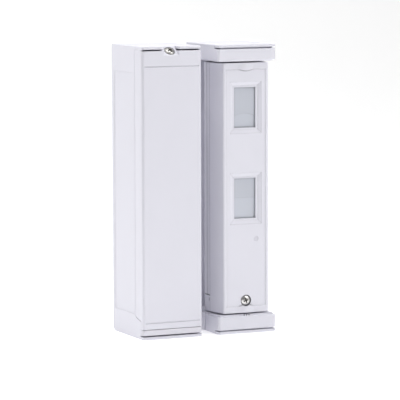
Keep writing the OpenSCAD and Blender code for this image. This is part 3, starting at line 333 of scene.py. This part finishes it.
def facing_front(x, y, z, turn):
    """A screw's place with its head towards the front and its cross turned by an angle."""
    return Matrix.Translation((x, y, z)) @ FACE_FRONT @ Matrix.Rotation(turn, 4, "Z")


tray_resin = plastic("tray_resin", colour=(0.73, 0.72, 0.78), roughness=0.55)
dress("box_tray", tray_resin, edge=0.3)
dress("box_seal", rubber, edge=0.1)
nickel = metal("nickel_plate", colour=(0.74, 0.73, 0.71), roughness=0.30, brushed=0.1)
# Dark nickel for the faces inside each cross: painted shade, as the real recess is dark from its depth.
recess_shade_nickel = metal("recess_shade_nickel", colour=(0.22, 0.21, 0.20), roughness=0.45, brushed=0.2)
low, high = node_box("tray_screws")
inset = TRAY_SCREW["head_d"] / 2
tray_seats = [facing_front(x, low.y + TRAY_SCREW["head_h"], z, TURN_BY_X * x + TURN_BY_Z * z)
              for x in (low.x + inset, high.x - inset) for z in (low.z + inset, high.z - inset)]
drive_screws("tray_screws", "cases", tray_seats, nickel, **TRAY_SCREW)

# Batteries and their holder
# Two lithium cells in blue sleeves lie in line in a black moulded cradle, each with a cone spring of steel
# under it and a flat contact over it.
black_resin = plastic("black_resin", colour=(0.025, 0.025, 0.028), roughness=0.45)
cell_sleeve = plastic("cell_sleeve", colour=(0.05, 0.12, 0.32), roughness=0.25, grain=0.02)
spring_steel = metal("spring_steel", colour=(0.62, 0.61, 0.58), roughness=0.3, brushed=0.1)
dress("battery_holder", black_resin, edge=0.2)
for cell in ("battery_1", "battery_2"):
    dress(cell, cell_sleeve, edge=0.4)
dress("battery_contacts", spring_steel)

# Transmitter
# A glass fibre board under green solder mask, on four posts of the tray. It carries the radio under
# a tinned can and the tamper switch, whose plunger the cover holds down.
TRACK_PITCH = 2.54
TRACK_WIDTH = 0.3
TRACK_RUN = 4                                     # pitches
TRACK_BLUR = 0.1
TRACK_LIFT = 1.7


def scale_colour(material, factor):
    """Multiplies the colour that reaches the shader by a factor that varies over the surface."""
    join = material.node_tree.links.new
    colour = shader_of(material).inputs["Base Color"]
    scaled = add_node(material, "VectorMath")
    scaled.operation = "SCALE"
    join(colour.links[0].from_socket, scaled.inputs[0])
    join(factor, scaled.inputs["Scale"])
    join(scaled.outputs[0], colour)


def etch(material):
    """Shows the copper tracks under the solder mask as paler lines on the grid of the pins."""
    join = material.node_tree.links.new
    place = add_node(material, "SeparateXYZ")
    join(add_node(material, "TexCoord").outputs["Object"], place.inputs[0])
    face = add_node(material, "CombineXYZ")
    join(place.outputs["X"], face.inputs["X"])
    join(place.outputs["Z"], face.inputs["Y"])
    tracks = add_node(material, "TexBrick", Scale=1 / (TRACK_PITCH * MM), Brick_Width=TRACK_RUN, Row_Height=1,
                      Mortar_Size=TRACK_WIDTH / TRACK_PITCH / 2, Mortar_Smooth=TRACK_BLUR)
    join(face.outputs[0], tracks.inputs["Vector"])
    gain = add_node(material, "MapRange", To_Min=1, To_Max=TRACK_LIFT)
    join(tracks.outputs["Fac"], gain.inputs["Value"])
    scale_colour(material, gain.outputs["Result"])


solder_mask = plastic("solder_mask", colour=(0.02, 0.16, 0.06), roughness=0.3, grain=0.02, tint=0.06)
etch(solder_mask)
tinned_can = metal("tinned_can", colour=(0.70, 0.69, 0.66), roughness=0.35, brushed=0.1)
dress("transmitter_board", solder_mask)
dress("transmitter_module", tinned_can, edge=0.3)
dress("box_tamper_switch", black_resin, edge=0.15)
dress("box_tamper_plunger", tray_resin)

# Front cover
# The long white cover of the battery box, with two level grooves and the sloping seat for its screw. A low
# rib on each flange closes the gap under the lip at the sides, so the dark seam runs across the front only.
# Painted shade: the colour is darkened where ambient occlusion finds the surface hemmed in.
OCCLUSION_SAMPLES = 8
SHUT_IN, OPEN_AIR = 0.5, 0.97
COVER_SCREW = {"head_d": 6.4, "head_h": 2.0, "length": 11.0}
COVER_SCREW_TURN = math.radians(24)
SEAT_SLOPE = math.radians(38)
NOTCH_DROP = 5.6                                  # height of the slope, from the front to the top
SEAT_SINK = 1.1
RIB_INSET = 0.02
RIB_T = 1.4
RIB_TURN = 0.4
RIB_FRONT, RIB_BACK = 1.9, 11.85                  # behind the front of the cover
RIB_TOP, RIB_FOOT = 1.7, 2.6                      # below the top of the cover


def paint_crevice_shade(material, darkest_shade, reach=1.0, own=False):
    """Paints shade in grooves and at the foot of steps, by all pieces or by the piece's own alone."""
    hidden = add_node(material, "AmbientOcclusion", Distance=reach * MM)
    hidden.samples = OCCLUSION_SAMPLES
    hidden.only_local = own
    shade_factor = add_node(material, "MapRange", From_Min=SHUT_IN, From_Max=OPEN_AIR, To_Min=darkest_shade, To_Max=1.0)
    material.node_tree.links.new(hidden.outputs["AO"], shade_factor.inputs["Value"])
    scale_colour(material, shade_factor.outputs["Result"])


def add_bar(form, first, last):
    """Adds a closed bar between two like outlines, given in mm."""
    start, end = [[form.verts.new(Vector(corner) * MM) for corner in outline] for outline in (first, last)]
    bridge(form, (start, end))
    form.faces.new(start)
    form.faces.new(end)
    bmesh.ops.recalc_face_normals(form, faces=form.faces)


cover_resin = plastic("cover_resin", CASE_WHITE, roughness=0.5)
# Painted shade in the cover's grooves, seams and screw seat.
paint_crevice_shade(cover_resin, darkest_shade=0.9, own=True)
dress("box_cover", cover_resin, edge=0.24)
low, high = node_box("box_cover")
cover_middle = (low.x + high.x) / 2
outer = (high.x - low.x) / 2 - RIB_INSET
inner = outer - RIB_T
front, back = low.y + RIB_FRONT, low.y + RIB_BACK
rib_outline = [(outer, back), (outer, front + RIB_TURN), (outer - RIB_TURN / 3, front + RIB_TURN / 3),
               (outer - RIB_TURN, front), (inner, front), (inner, back)]
ribs = bmesh.new()
for side in (-1, 1):
    foot, top = [[(cover_middle + side * x, y, high.z - down) for x, y in rib_outline]
                 for down in (RIB_FOOT, RIB_TOP)]
    add_bar(ribs, foot, top)
side_ribs = new_piece("cover_side_ribs", ribs, cover_resin)
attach(side_ribs, "cases")
# A darker copy of the nickel for the tilted cover screw, as painted shade: its head reflects a dimmer
# surround than the head screw's.
shaded_nickel = metal("shaded_nickel", colour=(0.50, 0.49, 0.47), roughness=0.38, brushed=0.15)
slope_middle = (cover_middle, low.y + NOTCH_DROP / 2 / math.tan(SEAT_SLOPE), high.z - NOTCH_DROP / 2)
slope = Matrix.Translation(slope_middle) @ Matrix.Rotation(SEAT_SLOPE, 4, "X")
cover_seat = slope @ Matrix.Translation((0, 0, -SEAT_SINK)) @ Matrix.Rotation(COVER_SCREW_TURN, 4, "Z")
drive_screws("cover_screw", "cases", [cover_seat], shaded_nickel, **COVER_SCREW)

# Link
# A hollow block of the same resin as the cases, between the feet of the two units. The wires pass through
# the nipples at its ends, each with a rubber ring round it.
dress("link_duct", case_resin, edge=0.3)
dress("link_seals", rubber)

# Sensor case
# A white C-shaped moulding, the back wall with the two hollow arms that carry the head, closed by a plate at
# each end. The head turns in two resin bushes with a steel friction washer, and a steel clip holds it.
dress("sensor_case", case_resin, edge=0.28)
for node in ("top_cap", "bottom_plate"):
    dress(node, case_resin, edge=0.3)
for node in ("upper_bush", "lower_bush"):
    dress(node, tray_resin, edge=0.1)
for node in ("friction_washer", "journal_clip"):
    dress(node, spring_steel, edge=0.08)

# Tick marks
# Three short strokes in the front edge of the lower plateau, which show where the head points. They are
# moulded as grooves, and each holds a black filling whose top is slightly hollow.
TICK_HALF = 0.3
TICK_FOOT, TICK_TOP = 10.9, 11.78                 # above the foot of the case
TICK_HOLLOW = ((-1, 0), (-0.5, 0.05), (0, 0.07), (0.5, 0.05), (1, 0))     # half widths, mm down
TICK_FRONT, TICK_BACK = 19.6, 18.5                # in front of the axis
TICK_STEP = math.radians(5)
black_tick_fill = plastic("tick_black", colour=(0.02, 0.02, 0.022), roughness=0.35, grain=0.02)
head_pan = next(joint for joint in frame["joints"] if joint["name"] == "head_pan")
axis = Matrix.Translation(Vector(head_pan["pos_m"]) / MM)
stroke = [(-TICK_HALF, TICK_FOOT), *[(TICK_HALF * across, TICK_TOP - down) for across, down in TICK_HOLLOW],
          (TICK_HALF, TICK_FOOT)]
strokes = bmesh.new()
for turned in (-TICK_STEP, 0, TICK_STEP):
    swung = axis @ Matrix.Rotation(turned, 4, "Z")
    front, back = [[swung @ Vector((x, -y, z)) for x, z in stroke] for y in (TICK_FRONT, TICK_BACK)]
    add_bar(strokes, front, back)
ticks = new_piece("tick_marks", strokes, black_tick_fill)
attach(ticks, "cases")

# Head shells
# The turning head, all in the same white resin: the base with its journal, the rear shell with its upper pin
# and the front cover, with a rubber seal in the seam. One pan head screw at its foot holds the cover.
HEAD_SCREW_TURN = math.radians(17)
head_resin = plastic("head_resin", CASE_WHITE, roughness=0.5)
# Painted shade in the head's seams, window steps and panel edges.
paint_crevice_shade(head_resin, darkest_shade=0.25)
for node in ("head_base", "head_rear"):
    dress(node, head_resin, edge=0.2)
dress("head_front", head_resin, edge=0.08)
dress("head_seal", rubber)
low, high = node_box("head_screw")
middle = (low + high) / 2
head_seat = facing_front(middle.x, low.y + COVER_SCREW["head_h"], middle.z, HEAD_SCREW_TURN)
drive_screws("head_screw", "head", [head_seat], nickel, **COVER_SCREW)

# Sensor board
# The board in the head, held by two small screws on posts of the rear shell, with the two sensor cans behind
# the lens frame, the lamp, the setting switch, the dial, the terminals and the tamper switch.
BOARD_SCREW = {"head_d": 4.8, "head_h": 1.6, "length": 6.0}
dress("lens_frame", black_resin, edge=0.2)
dress("sensor_board", solder_mask)
low, high = node_box("board_screws")
inset = BOARD_SCREW["head_d"] / 2
board_seats = [facing_front((low.x + high.x) / 2, low.y + BOARD_SCREW["head_h"], z, z)
               for z in (low.z + inset, high.z - inset)]
drive_screws("board_screws", "head", board_seats, nickel, **BOARD_SCREW)
for node in ("upper_pyro", "lower_pyro"):
    dress(node, tinned_can, edge=0.12)
red_resin = plastic("red_resin", colour=(0.45, 0.03, 0.02), roughness=0.4)
lamp_epoxy = plastic("lamp_epoxy", colour=(0.55, 0.05, 0.03), roughness=0.15)
green_resin = plastic("green_resin", colour=(0.03, 0.22, 0.08), roughness=0.4)
dress("indicator_led", lamp_epoxy)
dress("dip_switch", red_resin, edge=0.15)
for number in (1, 2, 3):
    dress(f"dip_slider_{number}", tray_resin, edge=0.08)
dress("dial_socket", black_resin, edge=0.12)
dress("sensitivity_dial", tray_resin, edge=0.1)
dress("terminal_block", green_resin, edge=0.15)
dress("head_tamper_switch", black_resin, edge=0.15)
dress("head_tamper_plunger", tray_resin)

# Lenses and light guide
# Two milky polyethylene lenses, pressed to the cover by their frame, look blue grey against the dark head.
# A thinner zone at the foot of each is a little paler. A pale resin guide brings the lamp's light outside.
LENS_EDGE = 2                                     # mm of lens behind the cover, round the window
UPPER_ZONE_SHARE, LOWER_ZONE_SHARE = -0.14, 0.02  # top of the thin zone above the middle, of the window
ZONE_BLUR = 0.15
THIN_GAIN = 1.05


def lens_film(node, zone_share, arched):
    """Milky film with a paler thin zone, which ends in an arc as wide as the window or in a level line."""
    low, high = node_box(node)
    middle = (low + high) / 2
    window_w, window_h = high.x - low.x - 2 * LENS_EDGE, high.z - low.z - 2 * LENS_EDGE
    radius = window_w if arched else 0
    centre = Vector((middle.x, 0, middle.z + window_h * zone_share - radius))
    material = plastic(f"{node}_film", colour=(0.555, 0.575, 0.635), roughness=0.42, grain=0.03, tint=0.01,
                       clear=0.25)
    join = material.node_tree.links.new
    apart = add_node(material, "VectorMath")
    apart.operation = "SUBTRACT"
    apart.inputs[1].default_value = centre * MM
    join(add_node(material, "TexCoord").outputs["Object"], apart.inputs[0])
    place = add_node(material, "SeparateXYZ")
    join(apart.outputs[0], place.inputs[0])
    distance = place.outputs["Z"]
    if arched:
        face = add_node(material, "CombineXYZ")
        join(place.outputs["X"], face.inputs["X"])
        join(place.outputs["Z"], face.inputs["Z"])
        length = add_node(material, "VectorMath")
        length.operation = "LENGTH"
        join(face.outputs[0], length.inputs[0])
        distance = length.outputs["Value"]
    step = add_node(material, "MapRange", From_Min=(radius - ZONE_BLUR) * MM,
                    From_Max=(radius + ZONE_BLUR) * MM, To_Min=THIN_GAIN, To_Max=1.0)
    join(distance, step.inputs["Value"])
    scale_colour(material, step.outputs["Result"])
    # Painted shade on the lens where the window's walls hem it in.
    paint_crevice_shade(material, darkest_shade=0.7, reach=1.5)
    return material


dress("upper_lens", lens_film("upper_lens", UPPER_ZONE_SHARE, arched=True))
dress("lower_lens", lens_film("lower_lens", LOWER_ZONE_SHARE, arched=False))
guide_resin = plastic("guide_resin", colour=(0.66, 0.65, 0.72), roughness=0.35)
dress("light_guide", guide_resin, edge=0.1)

# Stage, light and camera
# A pale painted floor that sweeps up behind the object and glows a little, two soft square lamps in front at
# the right, one behind at the left and one overhead, and the photograph's view. These sizes are in metres.
SWEEP_FRONT, SWEEP_START = -4.0, 0.9
SWEEP_RADIUS = 0.7
SWEEP_STEPS = 24
SWEEP_HEIGHT = 3.0
SWEEP_HALF_WIDTH = 4.0
FLOOR_DROP = 0.2 * MM
FLOOR_WHITE = (0.93, 0.93, 0.93, 1)
FLOOR_ROUGHNESS = 0.9
GLOW_START, GLOW_FULL = 0.25, 1.0
NEAR_GLOW, FAR_GLOW = 0.38, 0.34
PURE_WHITE = (1, 1, 1, 1)
WORLD_STRENGTH = 0.15
LIT_POINT = Vector((0, 0, 0.09))
LAMPS = {                                         # place, width, power in watts
    "key_lamp": ((0.8, -0.9, 0.9), 0.6, 5.7),
    "right_lamp": ((1.5, -0.5, 0.5), 0.9, 2.2),
    "left_lamp": ((-0.9, 0.6, 1.0), 0.6, 5.9),
    "top_lamp": ((0, -0.15, 1.4), 0.9, 12.4),
}
CAMERA_PLACE = (-0.7338, -1.6224, 0.2732)
CAMERA_TURN = math.radians(-24.463)
CAMERA_RISE = math.radians(6.061)
CAMERA_ROLL = math.radians(-0.19)
SENSOR_WIDTH_MM, FOCAL_LENGTH_MM = 36, 252
NEAREST, FARTHEST = 0.1, 20

profile = [(SWEEP_FRONT, -FLOOR_DROP), (SWEEP_START, -FLOOR_DROP)]
for step in range(1, SWEEP_STEPS + 1):
    angle = math.radians(90) * step / SWEEP_STEPS
    rise = SWEEP_RADIUS * (1 - math.cos(angle))
    profile.append((SWEEP_START + SWEEP_RADIUS * math.sin(angle), rise - FLOOR_DROP))
profile.append((SWEEP_START + SWEEP_RADIUS, SWEEP_HEIGHT))
sweep = bmesh.new()
left, right = [[sweep.verts.new((side * SWEEP_HALF_WIDTH, y, z)) for y, z in profile] for side in (-1, 1)]
for a in range(len(profile) - 1):
    sweep.faces.new((left[a], right[a], right[a + 1], left[a + 1])).smooth = True
floor_paint = bpy.data.materials.new("floor_paint")
floor_paint.use_nodes = True
paint = shader_of(floor_paint)
paint.inputs["Base Color"].default_value = FLOOR_WHITE
paint.inputs["Roughness"].default_value = FLOOR_ROUGHNESS
paint.inputs["Emission Color"].default_value = PURE_WHITE
away = add_node(floor_paint, "VectorMath")
away.operation = "LENGTH"
glow = add_node(floor_paint, "MapRange", From_Min=GLOW_START, From_Max=GLOW_FULL, To_Min=NEAR_GLOW,
                To_Max=FAR_GLOW)
join = floor_paint.node_tree.links.new
join(add_node(floor_paint, "TexCoord").outputs["Object"], away.inputs[0])
join(away.outputs["Value"], glow.inputs["Value"])
join(glow.outputs["Result"], paint.inputs["Emission Strength"])
new_piece("floor", sweep, floor_paint)

world = bpy.data.worlds.new("surround")
world.use_nodes = True
world.node_tree.nodes["Background"].inputs["Color"].default_value = PURE_WHITE
world.node_tree.nodes["Background"].inputs["Strength"].default_value = WORLD_STRENGTH
bpy.context.scene.world = world
bpy.context.scene.view_settings.view_transform = "Standard"

for name, (place, width, power) in LAMPS.items():
    light = bpy.data.lights.new(name, "AREA")
    light.size = width
    light.energy = power
    lamp = bpy.data.objects.new(name, light)
    bpy.context.scene.collection.objects.link(lamp)
    lamp.location = place
    lamp.rotation_euler = (LIT_POINT - Vector(place)).to_track_quat("-Z", "Y").to_euler()

floor_share = math.cos(CAMERA_RISE)
backward = Vector((floor_share * math.sin(CAMERA_TURN), -floor_share * math.cos(CAMERA_TURN),
                   math.sin(CAMERA_RISE)))
level = (-backward).cross(Vector((0, 0, 1))).normalized()
upright = level.cross(-backward)
rightward = math.cos(CAMERA_ROLL) * level + math.sin(CAMERA_ROLL) * upright
upward = math.cos(CAMERA_ROLL) * upright - math.sin(CAMERA_ROLL) * level
camera = bpy.data.cameras.new("camera")
camera.sensor_width = SENSOR_WIDTH_MM
camera.lens = FOCAL_LENGTH_MM
camera.clip_start = NEAREST
camera.clip_end = FARTHEST
eye = bpy.data.objects.new("camera", camera)
bpy.context.scene.collection.objects.link(eye)
turned = Matrix((rightward, upward, backward)).transposed().to_4x4()
eye.matrix_world = Matrix.Translation(CAMERA_PLACE) @ turned
bpy.context.scene.camera = eye
